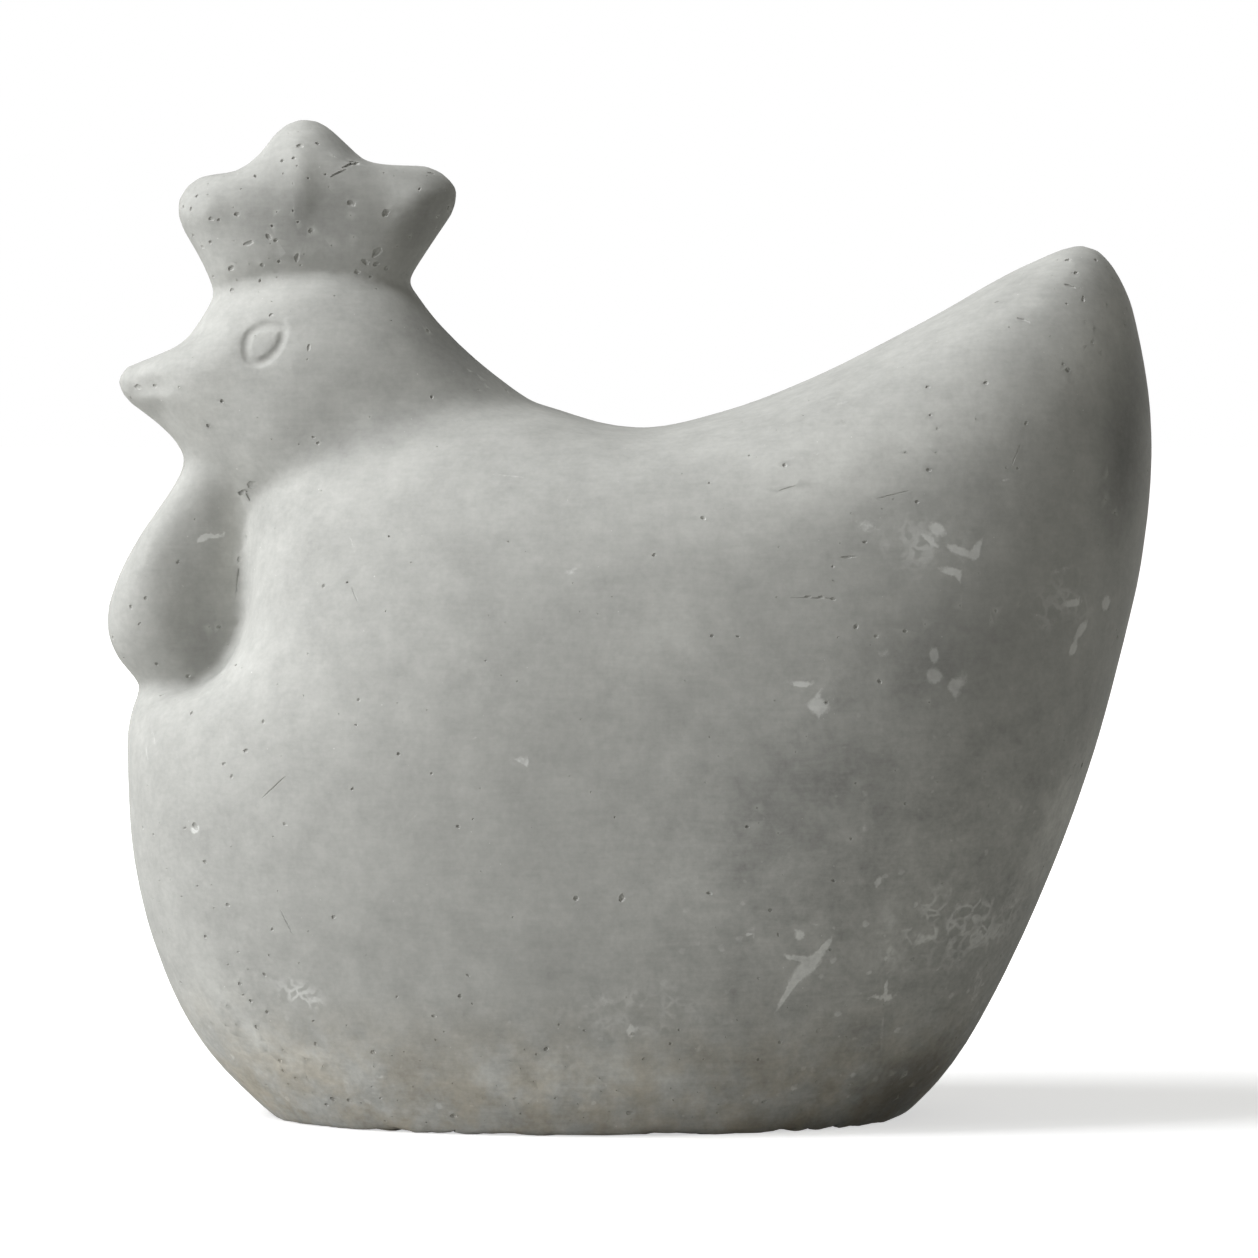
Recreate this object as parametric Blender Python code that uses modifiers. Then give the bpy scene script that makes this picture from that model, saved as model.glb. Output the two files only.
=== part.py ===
"""A hen figurine, cast in concrete as one solid piece.

The figure is symmetric about its upright mid-plane, as a casting from a two-part mould is.
Its masses are drawn as side outlines on that plane and swelled to both sides: the body with
its tail, the head with the neck, the comb, the beak and the wattle. With the comb's rounded
points they are fused, softened where they meet and hollowed by hand. Then the eyes are engraved
and the base is trimmed flat.

Frame: the origin is at the centre of the base, +Z is up, the hen faces -X, and Y = 0 is the
mid-plane. Outlines are (x, z) points in millimetres.
"""

import math

import bmesh
import bpy
import numpy as np
from mathutils import Matrix, Vector
from mathutils.bvhtree import BVHTree

MM = 0.001

# The side outlines, each a closed smooth line through its points.
BODY_OUTLINE = [
    (2.0, 124.0),  # the saddle of the back
    (14.0, 126.3),
    (31.0, 132.3),
    (53.0, 143.2),
    (73.0, 154.2),
    (82.6, 156.8),  # the tip of the tail
    (88.1, 151.2),
    (92.1, 138.0),
    (94.1, 121.0),
    (92.3, 100.0),
    (88.7, 84.0),
    (83.2, 64.0),
    (76.6, 45.5),
    (65.4, 21.0),
    (56.2, 6.5),
    (47.0, -2.0),  # from here the outline runs on under the base, where it is pressed flat
    (28.0, -14.0),
    (0.0, -22.0),
    (-30.0, -19.5),
    (-50.0, -11.0),
    (-64.0, -0.5),
    (-77.3, 13.0),
    (-84.8, 28.0),
    (-89.2, 44.5),
    (-90.5, 62.0),
    (-90.2, 72.0),
    (-87.8, 77.2),  # the bed of the wattle
    (-77.0, 77.6),
    (-70.0, 86.0),
    (-69.4, 104.0),
    (-68.0, 117.0),
    (-60.0, 125.8),
    (-42.0, 131.0),  # the shoulder, inside the neck
    (-20.0, 129.2),
]
HEAD_OUTLINE = [
    (-79.5, 117.2),  # the throat
    (-81.2, 127.0),
    (-80.2, 137.0),
    (-75.4, 146.2),
    (-66.5, 152.6),
    (-56.0, 155.2),  # the crown of the head, inside the comb
    (-46.0, 153.6),
    (-39.5, 149.6),
    (-34.4, 143.2),
    (-27.2, 136.2),
    (-17.5, 128.6),
    (-6.0, 118.0),
    (-12.0, 98.0),
    (-35.0, 92.0),
    (-54.0, 104.0),
    (-66.0, 110.5),
    (-75.0, 113.5),
]
COMB_OUTLINE = [
    (-75.2, 149.5),
    (-77.2, 154.1),
    (-79.8, 158.6),
    (-81.4, 162.8),  # the front point
    (-80.2, 166.6),
    (-77.0, 169.2),
    (-71.0, 170.0),
    (-66.9, 172.6),
    (-63.1, 177.4),
    (-58.8, 179.5),  # the middle point
    (-54.8, 178.5),
    (-50.6, 174.9),
    (-47.4, 172.0),
    (-42.0, 171.2),
    (-35.0, 170.6),
    (-30.6, 166.0),  # the back point
    (-33.0, 160.4),
    (-36.2, 155.3),
    (-39.3, 150.4),
    (-43.0, 138.0),
    (-57.0, 130.0),
    (-71.0, 138.0),
]
BEAK_OUTLINE = [
    (-77.6, 117.0),
    (-83.4, 123.0),
    (-89.2, 127.6),
    (-91.4, 130.0),
    (-92.1, 132.2),  # the tip
    (-90.6, 134.8),
    (-87.2, 136.4),
    (-82.0, 138.2),
    (-76.0, 142.0),
    (-70.0, 147.0),
    (-58.0, 146.0),
    (-52.0, 132.0),
    (-62.0, 116.0),
]
WATTLE_OUTLINE = [
    (-79.6, 117.8),  # the throat
    (-82.8, 112.6),
    (-88.6, 104.2),
    (-92.7, 96.0),
    (-94.3, 89.4),  # its foremost point
    (-93.2, 84.0),
    (-90.0, 79.6),
    (-85.0, 75.6),
    (-75.0, 73.4),  # the lower edge, against the breast
    (-66.5, 82.0),
    (-64.0, 98.0),
    (-64.5, 114.0),
    (-68.0, 124.0),  # its root, inside the head
    (-73.0, 127.0),
    (-77.0, 123.6),
]

# The half width of each swelling at its middle.
BODY_HALF_WIDTH = 46.0
HEAD_HALF_WIDTH = 20.5
COMB_HALF_WIDTH = 11.5
BEAK_HALF_WIDTH = 17.0
WATTLE_HALF_WIDTH = 13.0

# How full each swelling is: towards its outline, and across the flank. 2 and 2 are an ellipse.
BODY_FULLNESS = (2.7, 2.1)
HEAD_FULLNESS = (2.6, 2.1)
COMB_FULLNESS = (3.0, 2.2)
BEAK_FULLNESS = (2.0, 2.0)
WATTLE_FULLNESS = (2.2, 2.0)

# How far the thickest place of each swelling lies from the middle of its outline, along x and z.
BODY_LEAN = (0.0, 0.0)
HEAD_LEAN = (-7.0, 0.0)
COMB_LEAN = (0.0, 5.0)
BEAK_LEAN = (0.0, 3.0)
WATTLE_LEAN = (-7.0, 2.0)

# The rounded points of the comb, which stand proud of its flank: a centre, a reach along and
# across, the tilt of the long way in degrees and a half width.
COMB_POINTS = [
    ((-72.6, 162.6), (8.2, 6.8), 0.0, 10.0),
    ((-58.6, 165.5), (13.2, 8.4), 90.0, 12.3),
    ((-40.4, 163.8), (9.4, 6.8), 8.0, 10.8),
]

# Where the creases are worked soft: a centre on the mid-plane and a radius.
SOFT_PLACES = [
    ((-78.0, 114.0), 11.0),  # the throat, into the wattle
    ((-76.0, 133.0), 14.0),  # the root of the beak
    ((-50.0, 117.0), 12.0),  # the neck, into the shoulder
    ((-32.0, 124.0), 16.0),
]

# The hollows: a centre on the flank, a reach along and across, the tilt in degrees and a depth.
HOLLOWS = [
    ((-77.0, 90.0), (10.0, 6.5), 76.0, 0.6),  # the flank of the wattle
    ((-85.6, 131.4), (5.6, 2.8), 3.0, 0.9),  # the line of the mouth
    ((-83.8, 126.6), (4.6, 2.8), -42.0, 0.8),  # under the jaw
]

# The middle line of the engraved ring of an eye, and the section of the tool that cuts it.
EYE_OUTLINE = [
    (-64.9, 142.1),
    (-67.2, 140.9),
    (-67.9, 138.6),
    (-67.4, 136.5),
    (-65.8, 135.7),
    (-64.0, 136.4),
    (-62.2, 138.2),
    (-61.3, 140.6),
    (-61.9, 141.9),
]
EYE_TOOL_RADIUS = 0.95
EYE_TOOL_STEP_COUNT = 2
EYE_DEPTH = 0.55

OUTLINE_STEP_COUNT = 12  # the steps between two points of an outline
OUTLINE_POINT_COUNT = 160  # the points of each ring of a swelling
RING_COUNT = 24  # the rings to each side
EYE_POINT_COUNT = 36
KNOB_SEGMENT_COUNT = 48

FOOT = -0.4  # just below the base, so that trimming it leaves the worn rim of the foot
GRAIN = 1.0  # the voxel of the fused solid
SOFTENING_COUNT = 8  # rounds of smoothing, which fillet where the masses meet
EXTRA_SOFTENING_COUNT = 30  # more rounds at the soft places
FACET_COUNT = 10000
SEAM_PULL = 0.3
MERGE_DISTANCE = 0.00001
RIM_ANGLE = 40  # degrees, past which an edge stays sharp

CONCRETE = (0.42, 0.42, 0.40, 1.0)
ROUGHNESS = 0.85


def clear_scene():
    for item in list(bpy.data.objects):
        bpy.data.objects.remove(item)


def concrete():
    material = bpy.data.materials.new("concrete")
    material.use_nodes = True
    shader = material.node_tree.nodes["Principled BSDF"]
    shader.inputs["Base Color"].default_value = CONCRETE
    shader.inputs["Roughness"].default_value = ROUGHNESS
    shader.inputs["Metallic"].default_value = 0.0
    return material


def evaluated_mesh(item):
    return bpy.data.meshes.new_from_object(item.evaluated_get(bpy.context.evaluated_depsgraph_get()))


def smooth_loop(points, count):
    """Evenly spaced points, as complex numbers, of a closed smooth line through the given ones."""
    curve = bpy.data.curves.new("outline", "CURVE")
    curve.resolution_u = OUTLINE_STEP_COUNT
    spline = curve.splines.new("BEZIER")
    spline.bezier_points.add(len(points) - 1)
    spline.use_cyclic_u = True
    for knot, (x, z) in zip(spline.bezier_points, points):
        knot.co = (x, z, 0.0)
        knot.handle_left_type = knot.handle_right_type = "AUTO"
    guide = bpy.data.objects.new("outline", curve)
    bpy.context.scene.collection.objects.link(guide)
    line = np.array([complex(v.co.x, v.co.y) for v in evaluated_mesh(guide).vertices])
    bpy.data.objects.remove(guide)
    closed = np.append(line, line[0])
    travelled = np.append(0.0, np.cumsum(np.abs(np.diff(closed))))
    stops = np.linspace(0.0, travelled[-1], count, endpoint=False)
    return np.interp(stops, travelled, closed)


def swelling(outline, half_width, fullness, lean):
    """A closed mesh of rings, which draw in from the outline to a point on each flank.

    The outline is split into its harmonics. The finer ones die out first as a ring draws in,
    so the flank keeps no ridge below a corner of the outline. What would lie below the foot
    is pressed flat against it.
    """
    harmonics = np.fft.fft(smooth_loop(outline, OUTLINE_POINT_COUNT))
    order = np.abs(np.fft.fftfreq(OUTLINE_POINT_COUNT, 1 / OUTLINE_POINT_COUNT))
    middle = harmonics[0] / OUTLINE_POINT_COUNT
    peak = middle + complex(*lean)
    inward, across = fullness
    mesh = bmesh.new()
    rings = []
    for step in range(1 - RING_COUNT, RING_COUNT):
        turn = step / RING_COUNT * math.pi / 2
        share = math.cos(turn) ** (2 / inward)
        rise = math.copysign(abs(math.sin(turn)) ** (2 / across), turn) * half_width
        line = np.fft.ifft(harmonics * share**order) + (peak - middle) * (1 - share)
        rings.append([mesh.verts.new((p.real * MM, rise * MM, max(p.imag, FOOT) * MM)) for p in line])
    for low, high in zip(rings, rings[1:]):
        for i in range(OUTLINE_POINT_COUNT):
            j = (i + 1) % OUTLINE_POINT_COUNT
            mesh.faces.new((low[i], low[j], high[j], high[i]))
    for ring, rise in ((rings[0], -half_width), (rings[-1], half_width)):
        pole = mesh.verts.new((peak.real * MM, rise * MM, peak.imag * MM))
        for i in range(OUTLINE_POINT_COUNT):
            mesh.faces.new((ring[i], ring[(i + 1) % OUTLINE_POINT_COUNT], pole))
    bmesh.ops.recalc_face_normals(mesh, faces=mesh.faces)
    return mesh


def knob(centre, reach, tilt, half_width):
    """An egg-shaped mass across the mid-plane."""
    place = Matrix.Translation((centre[0] * MM, 0.0, centre[1] * MM))
    turn = Matrix.Rotation(-math.radians(tilt), 4, "Y")
    size = Matrix.Diagonal((reach[0] * MM, half_width * MM, reach[1] * MM, 1.0))
    mesh = bmesh.new()
    fineness = {"u_segments": KNOB_SEGMENT_COUNT, "v_segments": KNOB_SEGMENT_COUNT}
    bmesh.ops.create_uvsphere(mesh, radius=1.0, matrix=place @ turn @ size, **fineness)
    return mesh


def trim_base(mesh):
    """Cuts the figure flat at Z = 0 and closes the cut."""
    everything = mesh.verts[:] + mesh.edges[:] + mesh.faces[:]
    bmesh.ops.bisect_plane(mesh, geom=everything, plane_co=(0, 0, 0), plane_no=(0, 0, -1), clear_outer=True)
    bmesh.ops.holes_fill(mesh, edges=[edge for edge in mesh.edges if edge.is_boundary])
    bmesh.ops.recalc_face_normals(mesh, faces=mesh.faces)


def fused(masses, name, collection):
    """One solid from the overlapping masses, with its creases softened."""
    joined = bmesh.new()
    for mass in masses:
        data = bpy.data.meshes.new("mass")
        mass.to_mesh(data)
        mass.free()
        joined.from_mesh(data)
    data = bpy.data.meshes.new(name)
    joined.to_mesh(data)
    joined.free()
    solid = bpy.data.objects.new(name, data)
    collection.objects.link(solid)
    remesh = solid.modifiers.new("fuse", "REMESH")
    remesh.mode = "VOXEL"
    remesh.voxel_size = GRAIN * MM
    smooth = solid.modifiers.new("soften", "SMOOTH")
    smooth.factor = 0.5
    smooth.iterations = SOFTENING_COUNT
    make_real(solid)
    return solid


def make_real(item):
    """Turns the object's modifiers into its own mesh."""
    mesh = evaluated_mesh(item)
    item.modifiers.clear()
    item.data = mesh


def side_distance(vert, centre):
    """How far a vertex is from a point of the mid-plane, seen from the side, in millimetres."""
    return math.hypot(vert.co.x / MM - centre[0], vert.co.z / MM - centre[1])


def work_soft(mesh):
    """Smooths the creases away at the soft places."""
    every_way = {"use_axis_x": True, "use_axis_y": True, "use_axis_z": True}
    for centre, radius in SOFT_PLACES:
        near = [vert for vert in mesh.verts if side_distance(vert, centre) < radius]
        for _ in range(EXTRA_SOFTENING_COUNT):
            bmesh.ops.smooth_vert(mesh, verts=near, factor=0.5, **every_way)


def hollow(mesh, centre, reach, tilt, depth):
    """Presses an oval dent into both flanks."""
    turn = math.radians(tilt)
    mesh.normal_update()
    for vert in mesh.verts:
        across_x = vert.co.x / MM - centre[0]
        across_z = vert.co.z / MM - centre[1]
        along = (across_x * math.cos(turn) + across_z * math.sin(turn)) / reach[0]
        aside = (across_z * math.cos(turn) - across_x * math.sin(turn)) / reach[1]
        share = max(1.0 - along * along - aside * aside, 0.0)
        vert.co -= vert.normal * depth * MM * share**2


def work_hollows(mesh):
    for centre, reach, tilt, depth in HOLLOWS:
        hollow(mesh, centre, reach, tilt, depth)


def triangulate(mesh):
    bmesh.ops.triangulate(mesh, faces=mesh.faces)


def worked(item, steps):
    """Runs each step on the object's mesh."""
    mesh = bmesh.new()
    mesh.from_mesh(item.data)
    for step in steps:
        step(mesh)
    mesh.to_mesh(item.data)
    mesh.free()


def thin_out(item):
    """Fewer facets, small where the form is tight and large where it is flat."""
    cut = item.modifiers.new("facets", "DECIMATE")
    cut.ratio = FACET_COUNT / sum(len(face.vertices) - 2 for face in item.data.polygons)
    make_real(item)


def eye_tool(hen, cutters):
    """A bent round tool that follows the head's -Y flank and cuts the ring of an eye."""
    skin = BVHTree.FromObject(hen, bpy.context.evaluated_depsgraph_get())
    path = []
    for point in smooth_loop(EYE_OUTLINE, EYE_POINT_COUNT):
        start = Vector((point.real * MM, -BODY_HALF_WIDTH * MM, point.imag * MM))
        place, normal, _, _ = skin.ray_cast(start, Vector((0.0, 1.0, 0.0)))
        path.append(place + normal * (EYE_TOOL_RADIUS - EYE_DEPTH) * MM)
    curve = bpy.data.curves.new("eye_tool", "CURVE")
    curve.dimensions = "3D"
    curve.bevel_depth = EYE_TOOL_RADIUS * MM
    curve.bevel_resolution = EYE_TOOL_STEP_COUNT
    spline = curve.splines.new("POLY")
    spline.points.add(len(path) - 1)
    spline.use_cyclic_u = True
    for knot, place in zip(spline.points, path):
        knot.co = (*place, 1.0)
    line = bpy.data.objects.new("eye_line", curve)
    bpy.context.scene.collection.objects.link(line)
    tool = bpy.data.objects.new("eye_tool", evaluated_mesh(line))
    bpy.data.objects.remove(line)
    cutters.objects.link(tool)
    tool.hide_render = True
    tool.display_type = "WIRE"
    return tool


def engrave(hen, tool):
    cut = hen.modifiers.new("engrave", "BOOLEAN")
    cut.operation = "DIFFERENCE"
    cut.solver = "EXACT"
    cut.object = tool
    make_real(hen)


def halve(mesh):
    """Keeps the -Y half, open at the mid-plane, with the points close to that plane drawn onto it."""
    everything = mesh.verts[:] + mesh.edges[:] + mesh.faces[:]
    bmesh.ops.bisect_plane(
        mesh,
        geom=everything,
        dist=SEAM_PULL * MM,
        plane_co=(0, 0, 0),
        plane_no=(0, 1, 0),
        use_snap_center=True,
        clear_outer=True,
    )


def mirror(hen):
    """Adds the +Y half as the image of the -Y half."""
    worked(hen, [halve])
    halves = hen.modifiers.new("halves", "MIRROR")
    halves.use_axis = (False, True, False)
    halves.merge_threshold = MERGE_DISTANCE
    make_real(hen)


def centre_on_base(mesh):
    """Sets the origin under the middle of the figure's length."""
    reach = [vert.co.x for vert in mesh.verts]
    bmesh.ops.translate(mesh, verts=mesh.verts, vec=(-(min(reach) + max(reach)) / 2, 0.0, 0.0))


def cast_hen(collection, cutters):
    masses = [
        swelling(BODY_OUTLINE, BODY_HALF_WIDTH, BODY_FULLNESS, BODY_LEAN),
        swelling(HEAD_OUTLINE, HEAD_HALF_WIDTH, HEAD_FULLNESS, HEAD_LEAN),
        swelling(COMB_OUTLINE, COMB_HALF_WIDTH, COMB_FULLNESS, COMB_LEAN),
        swelling(BEAK_OUTLINE, BEAK_HALF_WIDTH, BEAK_FULLNESS, BEAK_LEAN),
        swelling(WATTLE_OUTLINE, WATTLE_HALF_WIDTH, WATTLE_FULLNESS, WATTLE_LEAN),
    ]
    masses.extend(knob(*point) for point in COMB_POINTS)
    hen = fused(masses, "hen", collection)
    worked(hen, [work_soft, work_hollows])
    thin_out(hen)
    engrave(hen, eye_tool(hen, cutters))
    mirror(hen)
    worked(hen, [trim_base, centre_on_base, triangulate])
    return hen


def build():
    clear_scene()
    collection = bpy.data.collections.new("hen_figurine")
    cutters = bpy.data.collections.new("cutters")
    for group in (collection, cutters):
        bpy.context.scene.collection.children.link(group)
    hen = cast_hen(collection, cutters)
    hen.data.materials.append(concrete())
    hen.data.shade_smooth()
    hen.data.set_sharp_from_angle(angle=math.radians(RIM_ANGLE))


build()
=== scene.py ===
"""The looks of the concrete hen: a fine skin over its solid, pored and scratched, and its stage."""

import math

import bmesh
import bpy
import numpy as np
from mathutils import Matrix, Vector, noise
from mathutils.bvhtree import BVHTree


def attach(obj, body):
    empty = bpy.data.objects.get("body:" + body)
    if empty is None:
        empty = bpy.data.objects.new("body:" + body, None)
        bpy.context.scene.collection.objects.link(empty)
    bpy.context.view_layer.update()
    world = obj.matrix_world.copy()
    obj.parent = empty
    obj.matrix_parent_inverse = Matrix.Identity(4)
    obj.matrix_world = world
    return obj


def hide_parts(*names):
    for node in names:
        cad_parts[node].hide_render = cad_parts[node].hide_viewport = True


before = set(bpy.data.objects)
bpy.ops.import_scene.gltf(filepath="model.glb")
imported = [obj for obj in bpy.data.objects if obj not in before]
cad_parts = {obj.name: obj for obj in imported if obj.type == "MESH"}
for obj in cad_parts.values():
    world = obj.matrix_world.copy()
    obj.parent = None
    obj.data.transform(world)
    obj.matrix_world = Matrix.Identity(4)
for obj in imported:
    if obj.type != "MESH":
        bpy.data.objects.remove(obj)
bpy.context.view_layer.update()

MM = 0.001

# The photograph's frame: its size in pixels, and what a pixel spans on the figure's mid-plane.
FRAME_PIXELS = 1258
PIXEL = 0.18 * MM
FRAME_CENTRE = Vector((0.0, 0.0, 87.66 * MM))
CAMERA_DISTANCE = 1.2
CAMERA_RISE = 2.7  # degrees above the level
SENSOR = 36.0

# The fine skin: the rounds of smoothing, and the angle in degrees past which an edge stays crisp.
SKIN_SOFTENING_COUNT = 3
SHARP_ANGLE = 34

# The hand-worked unevenness of the flanks: the size of the swells and how deep they dip, in
# millimetres. It reaches its full depth at a height above the flat foot.
SWELLS = [(42.0, 0.35), (13.0, 0.10), (5.0, 0.03)]
FOOT_EASE = 4.0 * MM

# The middle line of an eye's ring, as (x, z) in millimetres, and the groove along it.
EYE_LINE = [
    (-64.9, 142.1),
    (-67.2, 140.9),
    (-67.9, 138.6),
    (-67.4, 136.5),
    (-65.8, 135.7),
    (-64.0, 136.4),
    (-62.2, 138.2),
    (-61.3, 140.6),
    (-61.9, 141.9),
]
EYE_GROOVE_WIDTH = 2.2
EYE_GROOVE_DEPTH = 0.32
EYE_GROOVE_ROUNDNESS = 1.5
EYE_STEP_COUNT = 8  # the steps between two points of the ring
EYE_REACH = 6.2  # the radius of the flank that is made fine around an eye
EYE_MARGIN = 0.5  # the outer part of it, which isn't smoothed
EYE_SMOOTHING_COUNT = 40
EYE_EDGE = 0.6 * MM  # longer edges are split

# The crease where the comb meets the head, in pixels of the photograph's frame. Then, in
# millimetres, how deep it is cut and over what width, and how far it runs to each side of its
# middle along the figure.
CREASE = [(207, 291), (222, 288), (250, 280), (280, 274), (330, 272), (370, 277), (407, 284)]
CREASE_DEPTH = 0.75
CREASE_WIDTH = 7.0
CREASE_MIDDLE = -58.0
CREASE_REACH = 26.0
CREASE_SHARPNESS = 1.3
CREASE_EDGE = 0.9 * MM  # longer edges are split

# How far past the mid-plane the photographed flank's tones fade out.
PAST_MIDDLE = 14.0 * MM

# Broad changes of tone on the near flank, chosen from the photograph: mostly painted shade where
# the form turns away from the lamps or lies in a hollow, and painted light where it turns towards
# them or gets light back from the floor, with a few real stains. For each, the place in its frame,
# the reach along and across in its pixels, the tilt of the long way, and the change of the tone.
PAINTED_LIGHT_AND_STAINS = [
    (310, 220, 120, 60, 0, -0.25),  # painted shade on the comb
    (425, 215, 60, 40, 60, -0.30),  # painted shade on its back end
    (345, 150, 44, 28, -45, -0.30),  # painted shade on the back of its middle point
    (200, 400, 80, 50, 60, 0.25),  # painted light on the face
    (455, 350, 100, 50, -45, -0.35),  # painted shade on the nape
    (380, 435, 140, 36, 20, -0.20),  # painted shade under the cheek
    (235, 530, 110, 24, 85, 0.35),  # painted light on the breast beside the wattle
    (205, 650, 60, 40, 65, -0.30),  # painted shade in the hollow of the wattle
    (860, 460, 260, 70, 22, 0.25),  # painted light below the ridge of the back
    (1085, 350, 90, 50, 60, 0.30),  # painted light below the tip of the tail
    (1125, 450, 150, 34, 84, -0.45),  # painted shade on the rear edge of the tail
    (650, 640, 110, 60, 35, 0.20),  # a pale patch on the flank
    (950, 650, 150, 90, 20, -0.25),  # the rear of the flank
    (820, 790, 190, 100, 15, -0.20),  # the belly
    (1065, 810, 130, 34, 66, 0.35),  # a painted reflection along the lower rear edge
    (225, 1000, 120, 60, -55, 0.25),  # painted light from the floor on the lower breast
    (320, 1065, 130, 40, -15, 0.30),  # pale bloom and painted light from the floor on the foot in front
    (560, 1075, 170, 50, 0, 0.30),  # pale bloom and painted light from the floor on the middle of the foot
    (905, 1090, 110, 44, 35, -0.50),  # painted shade on the foot behind
]

# Where the fine veins of lime lie, in the same way, with how strongly they show.
VEINED = [
    (945, 925, 105, 62, 20, 1.0),
    (975, 915, 60, 50, 60, 0.6),
    (300, 995, 45, 20, -20, 1.0),
    (925, 545, 60, 40, 0, 0.8),
    (1060, 610, 60, 40, 60, 0.6),
    (640, 1010, 120, 40, 0, 0.5),
]

# Pits that the photograph shows: where in its frame, then across, along and deep in
# millimetres, and the tilt of the long way in degrees.
PITS = [
    (622, 898, 1.1, 1.5, 0.7, 60),
    (460, 996, 0.8, 0.9, 0.6, 0),
    (654, 555, 0.7, 0.8, 0.5, 0),
    (1068, 370, 0.9, 1.0, 0.8, 0),
    (1068, 260, 1.0, 1.2, 0.8, 0),
    (1076, 273, 0.8, 1.1, 0.6, 40),
    (1070, 286, 0.7, 2.4, 0.5, -20),
    (1096, 260, 0.8, 0.8, 0.6, 0),
    (1083, 299, 0.7, 1.4, 0.5, 70),
    (1023, 320, 0.6, 2.6, 0.4, -35),
    (997, 302, 0.6, 0.9, 0.4, 0),
    (928, 387, 0.7, 1.0, 0.4, 0),
    (986, 383, 0.7, 0.9, 0.4, 0),
    (1026, 423, 0.7, 0.8, 0.4, 0),
    (929, 470, 0.7, 0.9, 0.4, 0),
    (917, 502, 0.6, 0.8, 0.4, 0),
    (865, 542, 0.6, 1.0, 0.4, 0),
    (905, 631, 0.6, 0.9, 0.4, 0),
    (876, 636, 0.7, 0.8, 0.4, 0),
    (428, 331, 0.8, 1.0, 0.6, 0),
    (205, 862, 0.8, 1.0, 0.6, 0),
    (228, 905, 0.7, 0.9, 0.5, 0),
    (285, 824, 0.7, 0.9, 0.4, 0),
    (334, 917, 0.8, 0.9, 0.5, 0),
    (240, 984, 0.7, 0.8, 0.5, 0),
    (251, 1001, 0.7, 0.9, 0.5, 0),
    (257, 1027, 0.8, 1.0, 0.5, 0),
    (373, 1052, 0.8, 1.1, 0.5, 20),
    (434, 1016, 0.7, 0.9, 0.5, 0),
    (333, 1099, 0.9, 1.2, 0.7, 0),
    (327, 1105, 0.8, 1.0, 0.6, 0),
    (349, 1100, 0.8, 1.0, 0.6, 0),
    (454, 1116, 0.9, 1.4, 0.7, 0),
    (630, 1113, 0.9, 1.5, 0.6, 0),
    (770, 910, 0.7, 0.8, 0.5, 0),
    (912, 959, 0.7, 0.9, 0.4, 0),
    (986, 966, 0.7, 0.8, 0.4, 0),
    (850, 1084, 0.8, 1.0, 0.5, 0),
    (1082, 765, 0.7, 0.9, 0.5, 0),
    (208, 426, 0.8, 0.9, 0.6, 0),
    (318, 443, 0.7, 0.8, 0.5, 0),
    (222, 401, 0.7, 0.7, 0.6, 0),
    (271, 315, 0.7, 1.0, 0.4, 30),
    (309, 347, 0.7, 1.6, 0.4, 80),
    (219, 627, 0.8, 0.9, 0.6, 0),
    (188, 676, 0.7, 0.9, 0.6, 0),
    (162, 695, 0.7, 1.0, 0.5, 0),
    (131, 607, 0.7, 0.8, 0.5, 0),
    (113, 638, 0.8, 0.9, 0.5, 0),
    (146, 598, 0.7, 0.7, 0.5, 0),
    (178, 562, 0.7, 0.7, 0.5, 0),
    (246, 751, 0.8, 1.0, 0.6, 0),
    (224, 764, 0.7, 0.9, 0.5, 0),
    (236, 665, 0.6, 0.7, 0.5, 0),
    (712, 636, 0.6, 0.8, 0.4, 0),
    (195, 826, 1.0, 1.5, 0.6, -40),
    (808, 597, 0.6, 1.3, 0.4, 5),
    (821, 597, 0.6, 1.1, 0.4, 0),
    (833, 599, 0.6, 1.0, 0.4, 0),
    (848, 557, 0.5, 2.6, 0.3, 4),
    (300, 146, 1.0, 1.3, 0.6, -30),
    (294, 158, 0.6, 0.7, 0.5, 0),
    (351, 203, 1.1, 1.7, 0.6, -20),
    (386, 213, 1.3, 1.7, 0.9, 50),
    (237, 214, 0.9, 1.1, 0.6, 0),
    (211, 219, 0.9, 1.1, 0.5, 0),
    (219, 220, 0.7, 0.9, 0.5, 0),
    (191, 209, 0.8, 0.9, 0.6, 0),
    (197, 196, 0.6, 0.7, 0.5, 0),
    (311, 231, 0.9, 1.2, 0.6, 30),
    (269, 237, 0.9, 1.3, 0.6, -40),
    (276, 240, 0.7, 0.9, 0.6, 0),
    (249, 243, 1.0, 2.0, 0.5, 15),
    (297, 257, 0.9, 1.8, 0.7, 75),
    (262, 265, 0.7, 0.9, 0.5, 0),
    (231, 268, 1.0, 1.3, 0.8, 30),
    (232, 290, 0.7, 1.0, 0.5, 0),
    (377, 252, 1.4, 2.2, 0.6, 40),
    (365, 262, 0.9, 1.6, 0.7, -40),
    (376, 264, 0.8, 1.2, 0.6, 20),
    (357, 272, 0.8, 1.2, 0.5, 0),
    (448, 208, 0.8, 1.0, 0.5, 0),
    (431, 173, 0.8, 1.8, 0.4, 30),
    (203, 247, 0.7, 1.3, 0.4, 10),
    (243, 492, 0.8, 3.0, 0.5, 30),
    (252, 485, 1.4, 2.6, 0.5, 40),
    (248, 496, 0.5, 2.2, 0.4, -70),
    (239, 559, 0.5, 1.2, 0.3, 80),
    (138, 387, 1.0, 1.8, 0.6, 0),
    (155, 386, 0.8, 1.2, 0.5, 0),
    (131, 398, 0.7, 0.8, 0.5, 0),
]

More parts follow.
